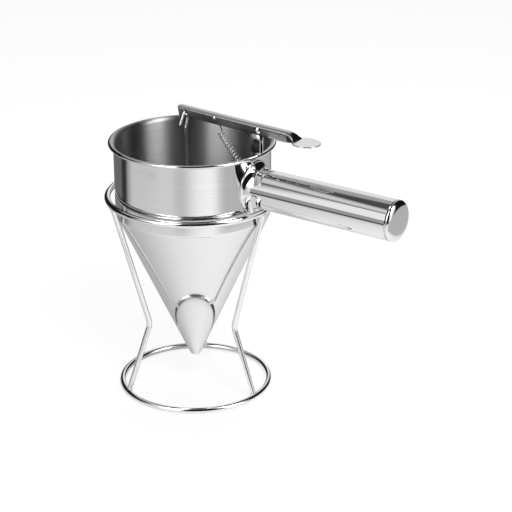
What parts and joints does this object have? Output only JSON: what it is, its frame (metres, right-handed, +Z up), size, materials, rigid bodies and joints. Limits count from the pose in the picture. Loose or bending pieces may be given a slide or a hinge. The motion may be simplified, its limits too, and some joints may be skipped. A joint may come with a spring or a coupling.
{
  "type": "batter dispenser",
  "caption": "Hand-held batter dispenser: a polished cone hopper with a tube handle, a thumb lever that lifts a valve rod against a return spring, and a wire stand that it lifts out of.",
  "frame": {"origin": "centre of the stand's base ring, on the surface it stands on", "axes": "+Z up along the hopper's axis, +X along the handle away from the hopper, +Y across the lever"},
  "size_m": [0.2365, 0.1278, 0.215],
  "materials": {
    "polished_steel": "mirror-polished stainless steel",
    "satin_steel": "satin, pressed and turned steel",
    "wire_steel": "bright drawn wire"
  },
  "bodies": {
    "stand": {"base_ring": "wire_steel", "top_ring": "wire_steel", "leg_handle_side": "wire_steel", "leg_rear": "wire_steel", "leg_front": "wire_steel"},
    "funnel": {"hopper_drum": "polished_steel", "hopper_cone": "polished_steel", "outlet_tip": "satin_steel", "handle_flange": "polished_steel", "handle_tube": "polished_steel", "handle_cap": "polished_steel", "fulcrum_post": "satin_steel", "pivot_rivet": "satin_steel", "spring_eye": "wire_steel", "return_spring": "wire_steel"},
    "lever": {"lever": "satin_steel", "spring_pin": "satin_steel"},
    "valve": {"valve_rod": "wire_steel", "valve_plug": "satin_steel"}
  },
  "joints": [
    {"name": "funnel_lift", "type": "slide", "parent": "stand", "child": "funnel", "axis": [0, 0, 1], "range_m": [0, 0.15]},
    {"name": "lever_pivot", "type": "hinge", "parent": "funnel", "child": "lever", "pos_m": [0.0589, 0, 0.20915], "axis": [0, 1, 0], "range_deg": [0, 12], "stiffness_Nm_per_rad": 0.45, "springref_deg": -18.91, "deforming": ["return_spring"]},
    {"name": "rod_swing", "type": "hinge", "parent": "lever", "child": "valve", "pos_m": [-0.0041, 0, 0.2115], "axis": [0, 1, 0], "range_deg": [-12.5, 0.5]}
  ],
  "couplings": [
    {"joint": "rod_swing", "follows": "lever_pivot", "ratio": -1}
  ]
}
